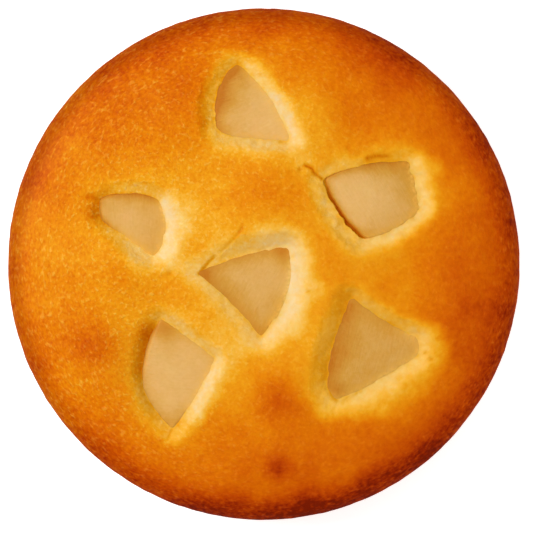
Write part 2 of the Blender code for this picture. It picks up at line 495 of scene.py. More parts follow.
@dataclass(frozen=True)
class PearFinish:
    """Baked pear: smooth, moist and a little translucent, deeper in colour where it lies against the batter.

    A film of batter, in the crust's colours, covers its edge. Its deeper colour beside the batter is partly
    soaked juice and partly painted shade, most on the sides away from the light.
    """

    stops: tuple[tuple[float, Colour], ...] = (
        (0.0, srgb(236, 190, 118)),
        (0.25, srgb(228, 178, 101)),
        (0.6, srgb(214, 156, 60)),
        (0.85, srgb(204, 136, 36)),
        (1.0, srgb(196, 117, 10)),
    )
    film: tuple[tuple[float, Colour], ...] = CrustFinish.stops
    film_patches: float = 3.0
    fibres: float = 0.16
    fibre_size: float = 0.7 * MM
    fibre_stretch: float = 0.12
    clouds: float = 0.25
    cloud_size: float = 5 * MM
    fine: float = 0.24
    fine_size: float = 1.4 * MM
    depth: float = 0.16 * MM
    roughness: float = 0.5

    def material(self) -> bpy.types.Material:
        """The pears' material, which reads the marks soak, film, crumb, dim, across and along."""
        board = Board("pear_flesh")
        inputs = {"X": board.mark("across"), "Y": board.mark("along") * self.fibre_stretch, "Z": 0.0}
        along = board.node("CombineXYZ", {}, inputs, "Vector")
        fibres = board.noise(self.fibre_size, place=along)
        clouds = board.noise(self.cloud_size)
        fine = board.noise(self.fine_size)
        # soak: the pear's deeper colour, partly soaked juice and partly painted shade
        soak_and_shade = board.mark("soak_and_shade") + clouds * self.clouds + fibres * self.fibres + fine * self.fine
        film = board.clamped(board.mark("film") * (fine * self.film_patches + 1.0))
        batter = board.ramp(board.mark("crumb"), self.film)
        colour = board.mix(film, board.ramp(board.clamped(soak_and_shade), self.stops), batter)
        # dim darkens towards black: painted shade at the pear's edge
        colour = board.mix(board.mark("dim"), colour, BLACK)
        normal = board.bump(fibres + fine, self.depth)
        return board.finish(
            Base_Color=colour,
            Roughness=self.roughness,
            Normal=normal,
            Specular_IOR_Level=0.2,
            Subsurface_Weight=0.35,
            Subsurface_Radius=(1.0, 0.55, 0.2),
            Subsurface_Scale=3 * MM,
        )


# ---------------------------------------------------------------- the chunks' outlines and walls


@dataclass(frozen=True)
class Wall:
    """The batter and the pear on one side of a chunk, with lengths in millimetres.

    towards is the side, in degrees anticlockwise from +X. reach is how far out the wall has turned level, bow
    is 1 for a straight slope and 2 for one that is steep below and level above, and fillet is how softly it
    starts. lip is how far its foot stands above the chunk, and lumps how uneven it is. ledge is how deep the
    gap beside the chunk is, and gap how far it has browned. pale is how little the wall has browned, from 0
    to 1, and halo is how far that goes; on the sides away from the light pale is set lower, which paints the
    warmer colour of shade into the batter. foot is how much its foot has browned, and foot_reach how far that
    goes. rounding is the radius of the pear's edge, soak how much deeper its colour is there, partly soaked
    juice and partly painted shade, most on the sides away from the light, and soak_and_shade_reach how far in
    that goes.
    film is how much batter covers the pear's edge, and film_reach how far in that goes. dark is how much
    painted shade darkens the wall's foot and the pear's edge.
    """

    towards: float
    reach: float = 6.0
    bow: float = 1.4
    fillet: float = 1.3
    lip: float = 0.0
    lumps: float = 0.12
    ledge: float = 0.6
    gap: float = 0.22
    pale: float = 0.9
    halo: float = 5.5
    foot: float = 0.1
    foot_reach: float = 0.8
    rounding: float = 0.5
    soak_and_shade: float = 0.3
    soak_and_shade_reach: float = 2.5
    film: float = 0.5
    film_reach: float = 1.6
    dark: float = 0.0


WALL_FIELDS = tuple(field.name for field in fields(Wall) if field.name != "towards")
WALL_FOCUS = 9.0  # more makes each named wall govern a narrower stretch
WALL_MEETING = 8 * MM  # how near a chunk's middle the walls' values start to run together

Corners = tuple[tuple[float, float, float], ...]


@dataclass(frozen=True)
class Spot:
    """A bell-shaped place. x, y and the size are in millimetres, and strength is how much it adds."""

    x: float
    y: float
    size: float
    strength: float

    def at(self, xy: Array) -> Array:
        """What it adds at points: strength * exp(-(distance / size) ** 2)."""
        away = np.linalg.norm(xy - np.array([self.x, self.y]) * MM, axis=1) / (self.size * MM)
        return self.strength * np.exp(-(away**2))


def spots(*rows: tuple[float, float, float, float]) -> tuple[Spot, ...]:
    """Spots from rows of x, y, size and strength."""
    return tuple(Spot(*row) for row in rows)


@dataclass(frozen=True)
class Chunk:
    """A chunk of pear in its pocket, with lengths in millimetres.

    corners run anticlockwise as (x, y, bulge), where bulge is how far the edge that follows bows outwards.
    The pocket's opening has corners of its own where it is wider than the chunk. sunk is how deep the top
    lies under the dome, slope its rise along +X and +Y, crown how far its middle stands up and thickness its
    depth. ragged is how uneven the batter's edge is. fibres is the way the chunk's fibres run, in degrees,
    tone how deep its colour is, and spots are places where its colour is deeper, or paler where their
    strength is below 0; in its corners they paint shade.
    """

    name: str
    corners: Corners
    sunk: float
    slope: tuple[float, float]
    walls: tuple[Wall, ...]
    opening: Corners | None = None
    crown: float = 0.8
    thickness: float = 12.0
    ragged: float = 0.3
    fibres: float = 0.0
    tone: float = 0.0
    spots: tuple[Spot, ...] = ()
    seed: int = 1


def arc_points(start: Array, end: Array, bulge: float, count: int = 60) -> Array:
    """Points from start up to, but not at, end on the arc that bows to the right of the way there.

    The radius is length squared over 8 bulges, plus half the bulge, and the points turn evenly about the
    centre.

    Args:
        start: The arc's start.
        end: The arc's end.
        bulge: How far its middle lies off the straight line, to the right.
        count: How many points.

    Returns:
        The points, as rows of x and y.
    """
    chord = end - start
    length = np.linalg.norm(chord)
    along = chord / length
    outwards = np.array([along[1], -along[0]])
    share = np.linspace(0, 1, count, endpoint=False)
    if bulge == 0:
        return start + share[:, None] * chord
    radius = length**2 / (8 * bulge) + bulge / 2
    turn = (2 * share - 1) * math.asin(length / 2 / radius)
    across = radius * np.sin(turn)
    out = radius * np.cos(turn) - (radius - bulge)
    return (start + end) / 2 + across[:, None] * along + out[:, None] * outwards


def nearest_on(xy: Array, starts: Array, ends: Array) -> tuple[Array, Array]:
    """The nearest points on a chain of straight stretches.

    Each point is projected on every stretch, held to it, and the nearest projection counts.

    Args:
        xy: The points, as rows of x and y.
        starts: Where the stretches start.
        ends: Where they end.

    Returns:
        The distances, and the nearest points.
    """
    edges = ends - starts
    share = (xy @ edges.T - (starts * edges).sum(axis=1)) / (edges**2).sum(axis=1)
    share = np.clip(share, 0, 1)
    away = sum((starts[:, axis] + share * edges[:, axis] - xy[:, axis, None]) ** 2 for axis in (0, 1))
    best = away.argmin(axis=1)
    rows = np.arange(len(xy))
    feet = starts[best] + share[rows, best][:, None] * edges[best]
    return np.sqrt(away[rows, best]), feet


class Outline:
    """A closed line through a chunk's corners, softened and a little uneven, with normals outwards."""

    SAMPLES = 900
    COUNT = 220
    NEAR = 45 * MM
    WAVE_SIZE = 3.5 * MM
    SOFTNESS = 0.8 * MM  # the reach of the weighted mean that rounds the corners

    def __init__(self, corners: Corners, seed: int, unevenness: float = 0.2 * MM) -> None:
        """Works out the line.

        Args:
            corners: The corners and bulges that it runs through, in millimetres.
            seed: Which unevenness it gets.
            unevenness: How far soft noise moves it in and out.
        """
        ends = np.array([corner[:2] for corner in corners]) * MM
        bulges = [corner[2] * MM for corner in corners]
        arcs = [arc_points(a, b, bulge) for a, b, bulge in zip(ends, np.roll(ends, -1, axis=0), bulges)]
        line = self.softened(self.resampled(np.concatenate(arcs), self.SAMPLES), self.SOFTNESS)
        waves = layered_noise(flat_points(line), self.WAVE_SIZE, seed)
        line = line + self.normals_of(line) * unevenness * waves[:, None]
        self.points = self.resampled(line, self.COUNT)
        self.normals = self.normals_of(self.points)
        self.middle = self.points.mean(axis=0)

    @staticmethod
    def resampled(points: Array, count: int) -> Array:
        """The closed line through points, as count points evenly spaced along it."""
        return spaced(np.vstack([points, points[:1]]), count, closed=True)

    @staticmethod
    def softened(points: Array, softness: float) -> Array:
        """The closed line with each point moved to the bell-weighted mean of those within 3 * softness."""
        step = np.linalg.norm(points[1] - points[0])
        reach = math.ceil(3 * softness / step)
        shifts = np.arange(-reach, reach + 1)
        weights = np.exp(-0.5 * (shifts * step / softness) ** 2)
        weights /= weights.sum()
        return sum(weight * np.roll(points, shift, axis=0) for weight, shift in zip(weights, shifts))

    @staticmethod
    def normals_of(points: Array) -> Array:
        """The outward normal at each point of a closed anticlockwise line."""
        along = np.roll(points, -1, axis=0) - np.roll(points, 1, axis=0)
        along /= np.linalg.norm(along, axis=1, keepdims=True)
        return np.stack([along[:, 1], -along[:, 0]], axis=1)

    def distance(self, xy: Array) -> tuple[Array, Array]:
        """How far points lie outside the line.

        A point is inside where a ray along +X crosses the line an odd number of times. Points farther than
        NEAR from the line's middle get that distance from the middle instead.

        Args:
            xy: The points, as rows of x and y.

        Returns:
            The distances, negative inside, and the nearest points on the line.
        """
        signed = np.linalg.norm(xy - self.middle, axis=1)
        feet = xy.copy()
        near = signed < self.NEAR
        here = xy[near]
        ends = np.roll(self.points, -1, axis=0)
        away, feet[near] = nearest_on(here, self.points, ends)
        rise = ends - self.points
        slant = rise[:, 0] / np.where(rise[:, 1] == 0, 1, rise[:, 1])
        x, y = here[:, 0, None], here[:, 1, None]
        spans = (self.points[:, 1] > y) != (ends[:, 1] > y)
        right = x < self.points[:, 0] + (y - self.points[:, 1]) * slant
        crossings = np.count_nonzero(spans & right, axis=1)
        signed[near] = np.where(crossings % 2 == 1, -away, away)
        return signed, feet


@dataclass(frozen=True)
class Dome:
    """The cake's smooth form, with the same few heights as its solid.

    swells holds the length, the way and the height of each slow wave in the crust.
    """

    radius: float
    widest: float = 23 * MM
    centre: float = 36 * MM
    power: float = 2.7
    base_radius: float = 96.5 * MM
    base_corner: float = 2.5 * MM
    corner_steps: int = 12
    dome_steps: int = 4000
    swells: tuple[tuple[float, float, float], ...] = (
        (74 * MM, math.radians(20), 0.55 * MM),
        (52 * MM, math.radians(100), 0.45 * MM),
        (43 * MM, math.radians(155), 0.35 * MM),
        (35 * MM, math.radians(62), 0.25 * MM),
    )

    def top(self, radius: Array) -> Array:
        """Height at a radius: the superellipse widest + rise * (1 - share ** power) ** (1 / power)."""
        share = np.clip(radius / self.radius, 0, 1)
        return self.widest + (self.centre - self.widest) * (1 - share**self.power) ** (1 / self.power)

    def swell(self, xy: Array) -> Array:
        """The slow rise and fall of the crust: sine waves that fade by 1 - share ** 4 towards the rim."""
        x, y = xy.T
        waves = sum(
            height * np.sin(math.tau * (x * math.cos(way) + y * math.sin(way)) / length)
            for length, way, height in self.swells
        )
        return waves * (1 - np.clip(np.hypot(x, y) / self.radius, 0, 1) ** 4)

    def radius_along(self, share: Array) -> Array:
        """The radius at even shares of the way along the dome from its middle to its widest point."""
        turn = np.linspace(0, math.pi / 2, self.dome_steps)
        radius = self.radius * np.sin(turn) ** (2 / self.power)
        height = self.top(radius)
        travelled = np.concatenate([[0], np.cumsum(np.hypot(np.diff(radius), np.diff(height)))])
        return np.interp(share * travelled[-1], travelled, radius)

    def side(self, rows: int) -> Array:
        """Rows of (radius, height) down the side, round the base's corner and in under the base.

        Args:
            rows: How many rows, evenly spaced along the way.

        Returns:
            The rows, from just under the widest point.
        """
        turn = np.linspace(0, math.pi / 2, self.corner_steps)
        corner = np.column_stack(
            [
                self.base_radius - self.base_corner * (1 - np.cos(turn)),
                self.base_corner * (1 - np.sin(turn)),
            ]
        )
        line = np.vstack([[self.radius, self.widest], corner])
        return spaced(line, rows + 1, closed=False)[1:]


class Pocket:
    """A chunk's outlines as worked out, with the heights of what lies in and round them."""

    LAP = 0.5 * MM  # how far the pear's edge lies under the batter
    UNDER = -0.5 * MM  # how far in from the pear's edge the batter drops to the floor

    def __init__(self, chunk: Chunk, dome: Dome) -> None:
        """Works out the outlines and the level of the chunk's top.

        Args:
            chunk: The chunk.
            dome: The dome that it is sunk into.
        """
        self.chunk = chunk
        self.outline = Outline(chunk.opening or chunk.corners, chunk.seed, unevenness=chunk.ragged * MM)
        self.pear = Outline(chunk.corners, chunk.seed)
        self.edge = self.pear.points + self.pear.normals * self.LAP
        self.middle = self.pear.middle
        self.level = float(dome.top(np.linalg.norm(self.middle))) - chunk.sunk * MM
        self.floor = self.level - chunk.thickness * MM

    def under(self, xy: Array) -> Array:
        """Whether points lie under the chunk, a little way in from its edge."""
        return self.pear.distance(xy)[0] < self.UNDER

    def chunk_top(self, xy: Array) -> Array:
        """Height of the plane of the chunk's top edge."""
        return self.level + (xy - self.middle) @ np.array(self.chunk.slope)

    def walls(self, xy: Array) -> dict[str, Array]:
        """The wall's values on the sides that points lie on.

        Every named wall weighs exp(focus * (cos(angle to it) - 1)), and the values are the weighted means.
        The focus fades to 0 towards the middle, where all the sides meet.

        Args:
            xy: The points.

        Returns:
            An array for each of WALL_FIELDS.
        """
        away = xy - self.middle
        angle = np.arctan2(away[:, 1], away[:, 0])
        ways = np.radians([wall.towards for wall in self.chunk.walls])
        focus = WALL_FOCUS * np.clip(np.linalg.norm(away, axis=1) / WALL_MEETING, 0, 1)
        weights = np.exp(focus[:, None] * (np.cos(angle[:, None] - ways) - 1))
        weights /= weights.sum(axis=1, keepdims=True)
        values = np.array([[getattr(wall, name) for name in WALL_FIELDS] for wall in self.chunk.walls])
        return dict(zip(WALL_FIELDS, (weights @ values).T))


# ---------------------------------------------------------------- the cake


@dataclass(frozen=True)
class Crease:
    """A fold or crack in the batter, with points and lengths in millimetres.

    The batter sinks by depth along it, and stands up by ridge on the right of the way along it.
    """

    points: tuple[tuple[float, float], ...]
    width: float = 0.45
    depth: float = 0.5
    ridge: float = 0.0
    bake: float = 0.12
    ridge_away: float = 1.8  # in widths

    def nearest(self, xy: Array) -> tuple[Array, Array]:
        """The distances of points from it, and the nearest points on it."""
        line = np.array(self.points) * MM
        return nearest_on(xy, line[:-1], line[1:])

    def relief(self, xy: Array) -> tuple[Array, Array]:
        """The height and the browning that it adds.

        With d for the distance in widths, the groove is exp(-d ** 2) and the ridge is
        exp(-(d - ridge_away) ** 2).

        Args:
            xy: The points.

        Returns:
            The heights and the browning.
        """
        away, feet = self.nearest(xy)
        away = away / (self.width * MM)
        along = np.subtract(self.points[-1], self.points[0])
        offset = xy - feet
        right = offset[:, 0] * along[1] - offset[:, 1] * along[0] > 0
        groove = np.exp(-(away**2))
        ridge = np.where(right, np.exp(-((away - self.ridge_away) ** 2)), 0)
        return (self.ridge * ridge - self.depth * groove) * MM, self.bake * groove


@dataclass(frozen=True)
class Baking:
    """How far the crust has browned, from 0, raw, to 1, dark brown. Radii are shares of the cake's own.

    It is middle in the middle and rises by outwards and, on the hot side, by hot. Over the last of the way to
    the rim it rises by rim, and round one place by scorch too. Near a chunk it is less by shade.
    """

    middle: float = 0.46
    outwards: float = 0.12
    outwards_steps: tuple[float, float] = (0.3, 0.95)
    hot: float = 0.17
    hot_way: float = -15.0
    hot_steps: tuple[float, float] = (0.35, 0.9)
    rim: float = 0.15
    rim_steps: tuple[float, float] = (0.84, 0.985)
    rim_waves: Pattern = Pattern(0.008, 9 * MM, 22, 3)
    scorch: float = 0.14
    scorch_steps: tuple[float, float] = (0.86, 0.965)
    scorch_way: float = -84.0
    scorch_focus: float = 5.0
    clouds: Pattern = Pattern(0.05, 16 * MM, 21, 3)
    shade: float = 0.10
    shade_reach: float = 9 * MM

    def open_crust(self, points: Array, radius: Array) -> Array:
        """The browning away from the chunks.

        The rises are smooth steps of the radius share. The hot side weighs (1 + cos(angle)) / 2 and the
        scorched place exp(focus * (cos(angle) - 1)). Noise moves the rim's inner border and adds clouds.

        Args:
            points: The points.
            radius: Their shares of the cake's radius.

        Returns:
            The browning.
        """
        hotness = 0.5 + 0.5 * towards(points, self.hot_way)
        scorched = np.exp(self.scorch_focus * (towards(points, self.scorch_way) - 1))
        border = radius + self.rim_waves.at(points)
        bake = self.middle + self.outwards * smooth_step(radius, *self.outwards_steps)
        bake += self.hot * hotness * smooth_step(radius, *self.hot_steps)
        bake += self.rim * smooth_step(border, *self.rim_steps)
        bake += self.scorch * scorched * smooth_step(border, *self.scorch_steps)
        return bake + self.clouds.at(points)


# How near a crease and a pocket's edge the grid is drawn in, as (distance before, distance after)
CREASE_PULL = np.array([(0, 0), (0.42, 0.02), (0.9, 0.3), (1.6, 0.8), (3.0, 3.0)]) * MM
EDGE_PULL = MM * np.array(
    [(0, 0), (0.42, 0.02), (0.9, 0.25), (1.7, 0.75), (3.0, 1.75), (5.0, 3.6), (8.0, 7.3), (10.0, 10.0)]
)


@dataclass(frozen=True)
class Cake:
    """The baked batter, as one closed surface with a pocket for each chunk.

    A pair called steps, heights, depths or radii is where a smooth step begins and ends, and a depth is a
    height with its sign turned. glint_way is how much the grain and its painted glints strengthen to the left
    and to the back, towards the light, and rim_shade_way is in degrees.
    """

    dome: Dome
    baking: Baking
    pockets: tuple[Pocket, ...]
    patches: tuple[Spot, ...]
    pits: tuple[Spot, ...]
    creases: tuple[Crease, ...]
    shade_spots: tuple[Spot, ...]
    grid_steps: int = 272
    side_rows: int = 18
    base_shares: tuple[float, ...] = (0.93, 0.7, 0.35)
    sag_depth: float = 1.0 * MM
    sag_reach: float = 14 * MM
    edge_start: float = 0.04 * MM
    edge_end: float = 0.26 * MM
    relief: tuple[Pattern, ...] = (
        Pattern(0.16 * MM, 11 * MM, 5),
        Pattern(0.09 * MM, 4.5 * MM, 6),
        Pattern(0.045 * MM, 2.0 * MM, 7),
    )
    lumps: Pattern = Pattern(1.0, 2.8 * MM, 11, 2)
    # the walls' colours
    ragged: Pattern = Pattern(0.7 * MM, 3 * MM, 23, 3)
    uneven: Pattern = Pattern(0.3, 8 * MM, 25)
    patchy: Pattern = Pattern(1.0, 2.6 * MM, 24, 3)
    patch_share: float = 0.2
    halo_steps: tuple[float, float] = (0.2, 2.2)
    wall_fineness: float = 0.45
    gap_from: float = 0.1 * MM
    # painted shade at the walls' feet and in the gaps beside the chunks
    edge_shade_reach: float = 2.2 * MM
    gap_shade: float = 0.5
    # how much painted shade darkens the pits and creases as hollows, and the pits' browning
    sunken_shade: float = 0.7
    pit_browning_and_shade: float = 0.2
    # the grain and its painted glints, weakest on the right, away from the light, and strongest on the left
    shaded_side_share: float = 0.25
    glint_way: tuple[float, float] = (0.9, 0.3)
    glint_steps: tuple[float, float] = (-50 * MM, 65 * MM)
    rim_grain_and_glints: float = 0.55
    rim_grain_and_glints_radii: tuple[float, float] = (86 * MM, 95 * MM)
    drum: float = 62 * MM
    # the rim, the side and the base
    rim_steps: tuple[float, float] = (0.86, 0.97)
    # painted shade on the rim's outer edge, strongest towards rim_shade_way
    rim_shade_strength: float = 0.29
    rim_shade_way: float = 130.0
    rim_shade_radii: tuple[float, float] = (91 * MM, 98 * MM)
    rim_shade_heights: tuple[float, float] = (8 * MM, 23 * MM)
    side_bake: float = 0.74
    upper_bake: float = 0.16
    upper_heights: tuple[float, float] = (10 * MM, 23 * MM)
    base_paleness: float = 0.08
    base_depths: tuple[float, float] = (-3 * MM, 0.5 * MM)
    side_clouds: Pattern = Pattern(0.05, 14 * MM, 31, 3)
    # darker further down the side
    side_darkening: float = 0.2
    side_darkening_depths: tuple[float, float] = (-22 * MM, -8 * MM)
    push: tuple[Pattern, ...] = (Pattern(0.10 * MM, 9 * MM, 41), Pattern(0.10 * MM, 3.2 * MM, 42))
    push_in: float = 0.12 * MM
    shoulder_share: float = 0.94
    push_heights: tuple[float, float] = (0.5 * MM, 6 * MM)

    def disc(self) -> tuple[Array, Array]:
        """A square grid bent to a disc, so that its squares stay nearly square.

        In the wedge where the first coordinate u is the larger, the radius is |u| and the angle is a quarter
        turn of v / u, and in the other wedge the two change places. The radius is then spread along the dome.

        Returns:
            The grid's points as rows of x and y, and each one's share of the way to the rim.
        """
        step = np.linspace(-1, 1, self.grid_steps + 1)
        u, v = (grid.ravel() for grid in np.meshgrid(step, step, indexing="ij"))
        wide = np.abs(u) >= np.abs(v)
        longer, shorter = np.where(wide, u, v), np.where(wide, v, u)
        bend = math.pi / 4 * shorter / np.where(longer == 0, 1, longer)
        angle = np.where(wide, bend, math.pi / 2 - bend)
        share = np.abs(longer)
        radius = self.dome.radius_along(share) * np.sign(longer)
        return np.column_stack([radius * np.cos(angle), radius * np.sin(angle)]), share

    def gathered(self, xy: Array) -> Array:
        """The grid drawn together at the creases and at the pockets' edges, where the batter turns sharply.

        A point keeps the nearest point of the nearest line, and its distance from there is read off a line
        through (from, to) pairs that starts almost flat, so that a row of points falls right on the edge.

        Args:
            xy: The grid's points.

        Returns:
            The moved points.
        """
        moved = xy.copy()
        for crease in self.creases:
            self.draw_in(moved, *crease.nearest(xy), CREASE_PULL)
        start = moved.copy()
        for pocket in self.pockets:
            signed, feet = pocket.outline.distance(start)
            self.draw_in(moved, np.abs(signed), feet, EDGE_PULL)
        return moved

    @staticmethod
    def draw_in(points: Array, away: Array, feet: Array, pull: Array) -> None:
        """Moves the points near a line towards their feet on it, by pull's (before, after) distances."""
        close = (away < pull[-1, 0]) & (away > 0)
        share = np.interp(away, pull[:, 0], pull[:, 1])[close] / away[close]
        points[close] = feet[close] + (points[close] - feet[close]) * share[:, None]

    def top_heights(self, xy: Array, signed: list[Array]) -> Array:
        """Heights of the top.

        The dome with its swell and relief sinks a little near every chunk. Outside a chunk's outline the wall
        rises from its foot to that height by 1 - (1 - eased) ** bow, with lumps on it. With s for distance /
        reach and e for fillet / reach, eased is s * s * (1 + e) / (s + e). Inside, the batter drops to the
        ledge beside the chunk, and under the chunk to the pocket's floor.

        Args:
            xy: The points.
            signed: Each pocket's distances, negative inside.

        Returns:
            The heights.
        """
        points = flat_points(xy)
        height = self.dome.top(np.linalg.norm(xy, axis=1)) + self.dome.swell(xy)
        height += sum(pattern.at(points) for pattern in self.relief)
        sags = (np.exp(-((np.maximum(gap, 0) / self.sag_reach) ** 2)) for gap in signed)
        height -= sum(self.sag_depth * sag for sag in sags)
        height -= sum(pit.at(xy) for pit in self.pits) * MM
        height += sum(crease.relief(xy)[0] for crease in self.creases)
        lumps = self.lumps.at(points)
        for pocket, distance in zip(self.pockets, signed):
            wall = pocket.walls(xy)
            reach = wall["reach"] * MM
            foot = pocket.chunk_top(xy) + (wall["lip"] + wall["lumps"] * lumps) * MM
            share = np.clip(distance / reach, 0, 1)
            ease = wall["fillet"] * MM / reach
            risen = 1 - (1 - share**2 * (1 + ease) / (share + ease)) ** wall["bow"]
            on_wall = (distance >= 0) & (distance < reach)
            bulging = wall["lumps"] * lumps * MM * 4 * share * (1 - share)
            height = np.where(on_wall, foot + (height - foot) * risen + bulging, height)
            dropped = smooth_step(-distance, self.edge_start, self.edge_end)
            ledge = foot - (wall["lip"] + wall["ledge"]) * MM * dropped
            under = pocket.under(xy) & (distance < -self.edge_end)
            height = np.where(distance < 0, np.where(under, pocket.floor, ledge), height)
        return height

    def top_marks(self, xy: Array, signed: list[Array]) -> dict[str, Array]:
        """How far each point of the top has browned, how strong its grain and painted glints are, and how
        much painted shade darkens it.

        The named patches add bells to the open crust's browning. Round a chunk it is less, and on its walls
        it falls to their own value, with finer grain and fewer painted glints. Painted shade darkens the
        walls' feet by dark times exp(-(distance / edge_shade_reach) ** 2), the gap beside a chunk by a share
        of its browning, the pits and creases, which brown too, and listed spots beside the chunks' shaded
        sides.

        Args:
            xy: The points.
            signed: Each pocket's distances, negative inside.

        Returns:
            The marks bake, from 0, raw, to 1, dark brown, coarse, the strength of the grain and painted
            glints, and dim, the painted shade.
        """
        points = flat_points(xy)
        baking = self.baking
        bake = baking.open_crust(points, np.linalg.norm(xy, axis=1) / self.dome.radius)
        bake += sum(patch.at(xy) for patch in self.patches)
        coarse = self.grain_and_glints_at(xy)
        # painted shade in the listed spots
        dim = sum(spot.at(xy) for spot in self.shade_spots)
        ragged = self.ragged.at(points)
        wider = 1 + self.uneven.at(points)
        patchy = self.patch_share * np.maximum(self.patchy.at(points), 0)
        for pocket, distance in zip(self.pockets, signed):
            wall = pocket.walls(xy)
            out = np.maximum(distance * wider + ragged, 0)
            bake -= baking.shade * np.exp(-((out / baking.shade_reach) ** 2))
            level = smooth_step(out / (wall["halo"] * MM), *self.halo_steps)
            pale = wall["pale"] * (1 - level) * (1 - patchy)
            bake = bake * (1 - pale) + wall["foot"] * np.exp(-((out / (wall["foot_reach"] * MM)) ** 2))
            inside = smooth_step(-distance, self.gap_from, self.edge_end)
            bake = bake * (1 - inside) + wall["gap"] * inside
            coarse *= 1 - self.wall_fineness * pale
            # painted shade at the wall's foot and in the gap beside the chunk
            foot_shade = wall["dark"] * np.exp(-((out / self.edge_shade_reach) ** 2))
            dim += foot_shade + self.gap_shade * wall["gap"] * inside
        # pits and creases brown, and their hollows are darkened with painted shade
        sunken = sum(crease.relief(xy)[1] for crease in self.creases)
        sunken = sunken + self.pit_browning_and_shade * sum(pit.at(xy) for pit in self.pits)
        return {"bake": bake + sunken, "coarse": coarse, "dim": dim + sunken * self.sunken_shade}

    def grain_and_glints_at(self, xy: Array) -> Array:
        """How strong the grain and its painted glints are: weakest on the right, away from the light, 1 on
        the left, towards it, and at least rim_grain_and_glints at the rim.
        """
        west, north = self.glint_way
        leftwards = smooth_step(west * -xy[:, 0] + north * xy[:, 1], *self.glint_steps)
        at_rim = smooth_step(np.linalg.norm(xy, axis=1), *self.rim_grain_and_glints_radii)
        return np.maximum(self.shaded_side_share + (1 - self.shaded_side_share) * leftwards, self.rim_grain_and_glints * at_rim)

    def rim_shade(self, points: Array) -> Array:
        """How much painted shade darkens the rim's outer edge, most on the side of rim_shade_way."""
        radius = np.linalg.norm(points[:, :2], axis=1)
        upper = smooth_step(points[:, 2], *self.rim_shade_heights)
        facing = 0.5 + 0.5 * towards(points, self.rim_shade_way)
        return self.rim_shade_strength * facing * smooth_step(radius, *self.rim_shade_radii) * upper

    def drawn_place(self, points: Array) -> Array:
        """Where each point lies on a sheet drawn over a drum, so that a pattern stretches along the rim.

        Within the drum's radius it is the point's own x and y. Beyond, these are held to that radius, and the
        third coordinate is how far out and down the smooth dome or the side lies.

        Args:
            points: The points.

        Returns:
            The places, as rows of three.
        """
        radius = np.linalg.norm(points[:, :2], axis=1)
        held = np.minimum(radius, self.drum) / np.maximum(radius, MM)
        height = np.where(points[:, 2] < self.dome.widest, points[:, 2], self.dome.top(radius))
        return np.column_stack([points[:, :2] * held[:, None], np.maximum(radius - self.drum, 0) - height])

    def side_marks(self, points: Array) -> dict[str, Array]:
        """The marks of the side and the base: dark under the rim, paler and darker further down.

        Args:
            points: The points of the side and the base.

        Returns:
            The marks bake, coarse, dim and rim.
        """
        height = points[:, 2]
        bake = self.side_bake + self.upper_bake * smooth_step(height, *self.upper_heights)
        bake = bake - self.base_paleness * smooth_step(-height, *self.base_depths)
        return {
            "bake": bake + self.side_clouds.at(points),
            "coarse": self.grain_and_glints_at(points[:, :2]),
            "dim": self.side_darkening * smooth_step(-height, *self.side_darkening_depths),
            "rim": np.ones(len(points)),
        }

    def build(self, finish: CrustFinish) -> bpy.types.Object:
        """Makes the cake: the bent grid of the top, the rows of its side and base, and one face under it.

        Args:
            finish: The crust's finish.

        Returns:
            The piece.
        """
        disc, share = self.disc()
        xy = self.gathered(disc)
        signed = [pocket.outline.distance(xy)[0] for pocket in self.pockets]
        top = np.column_stack([xy, self.top_heights(xy, signed)])

        count = self.grid_steps + 1
        index = np.arange(count * count).reshape(count, count)
        border = np.concatenate([index[:-1, 0], index[-1, :-1], index[:0:-1, -1], index[0, :0:-1]])

        profile = self.dome.side(self.side_rows)
        inner = profile[-1, 0] * np.array(self.base_shares)
        radius, height = np.vstack([profile, np.column_stack([inner, np.zeros(len(inner))])]).T
        around = disc[border] / self.dome.radius
        rings = (around * radius[:, None, None]).reshape(-1, 2)
        side = np.column_stack([rings, np.repeat(height, len(border))])
        join = np.concatenate([border, len(top) + np.arange(len(side))]).reshape(len(radius) + 1, -1)
        faces = [grid_faces(index), grid_faces(join, closed=True), join[-1][None, ::-1]]

        points = np.vstack([top, side])
        on_top = self.top_marks(xy, signed) | {"rim": smooth_step(share, *self.rim_steps)}
        marks = {name: np.concatenate([on_top[name], part]) for name, part in self.side_marks(side).items()}
        # painted shade on the rim's outer edge
        marks["dim"] += self.rim_shade(points)
        marks["drawn"] = self.drawn_place(points)
        points = self.roughened(points, len(top))
        piece = make_piece("cake_crust", points, faces, finish.material(), marks)
        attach(piece, "root")
        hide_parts("cake")
        log.info("cake_crust: %d points, %d faces", len(points), len(piece.data.polygons))
        return piece

    def roughened(self, points: Array, first: int) -> Array:
        """The side and the shoulder pushed in and out by soft noise, by less at the base and none under it.

        Args:
            points: All the cake's points.
            first: Where the side's points start.

        Returns:
            The moved points.
        """
        radius = np.linalg.norm(points[:, :2], axis=1)
        strength = smooth_step(radius, self.shoulder_share * self.dome.radius, self.dome.radius)
        strength[first:] = smooth_step(points[first:, 2], *self.push_heights)
        push = (sum(pattern.at(points) for pattern in self.push) - self.push_in) * strength
        moved = points.copy()
        moved[:, :2] *= (1 + push / np.maximum(radius, MM))[:, None]
        return moved


